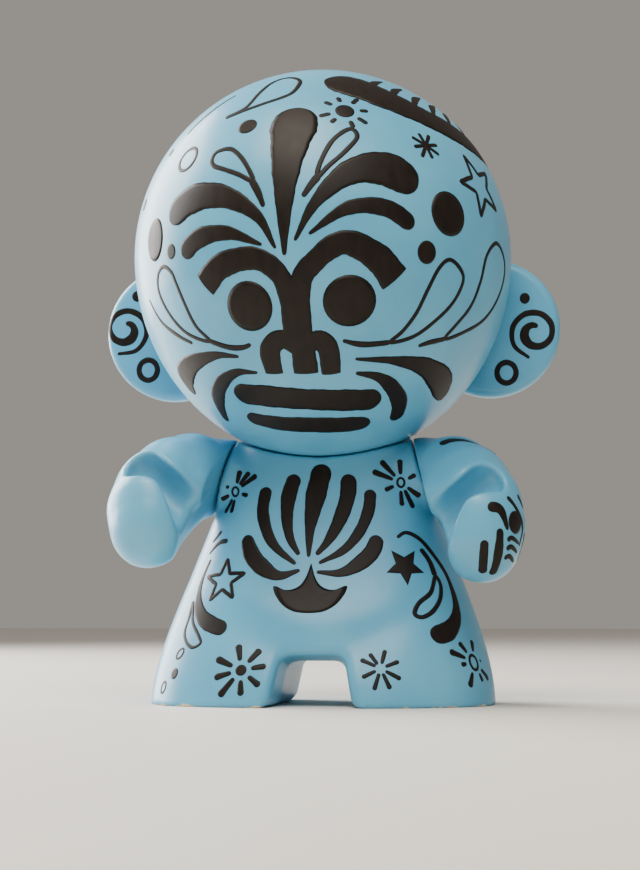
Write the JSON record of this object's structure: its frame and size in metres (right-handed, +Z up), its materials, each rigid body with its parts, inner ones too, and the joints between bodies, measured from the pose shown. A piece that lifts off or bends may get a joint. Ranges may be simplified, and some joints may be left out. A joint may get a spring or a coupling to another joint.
{
  "type": "vinyl art toy",
  "caption": "Hollow vinyl display figure with a big round head that turns, round ears, mitten hands on swinging arms and a bell-shaped body, brush-painted with plumes and stars",
  "frame": {"origin": "on the floor, under the middle of the head, which is the middle of the overall box's base", "axes": "+Z up; the figure faces -Y; +X is the figure's own left"},
  "size_m": [0.1328, 0.1063, 0.178],
  "materials": {
    "blue_vinyl": "sky blue brush paint over vinyl, satin to gloss",
    "joint_plastic": "moulded, off-white",
    "dark_paint": "near-black paint marker line work",
    "bare_vinyl": "bare cream vinyl where the paint is chipped"
  },
  "bodies": {
    "torso": {"torso_shell": "blue_vinyl", "neck_post": "joint_plastic", "left_shoulder_bushing": "joint_plastic", "right_shoulder_bushing": "joint_plastic"},
    "head": {"head_shell": "blue_vinyl", "left_ear": "blue_vinyl", "right_ear": "blue_vinyl", "neck_bushing": "joint_plastic"},
    "left_arm": {"left_arm_shell": "blue_vinyl", "left_arm_peg": "joint_plastic"},
    "right_arm": {"right_arm_shell": "blue_vinyl", "right_arm_peg": "joint_plastic"}
  },
  "joints": [
    {"name": "neck_turn", "type": "hinge", "parent": "torso", "child": "head", "pos_m": [0, 0, 0.1249], "axis": [0, -0.1736, 0.9848], "continuous": true},
    {"name": "left_shoulder", "type": "hinge", "parent": "torso", "child": "left_arm", "pos_m": [0.0278, 0.0055, 0.064], "axis": [-0.9563, 0, -0.2924], "range_deg": [-30, 20]},
    {"name": "right_shoulder", "type": "hinge", "parent": "torso", "child": "right_arm", "pos_m": [-0.0278, 0.0055, 0.064], "axis": [-0.9563, 0, 0.2924], "range_deg": [-38, 12]}
  ]
}
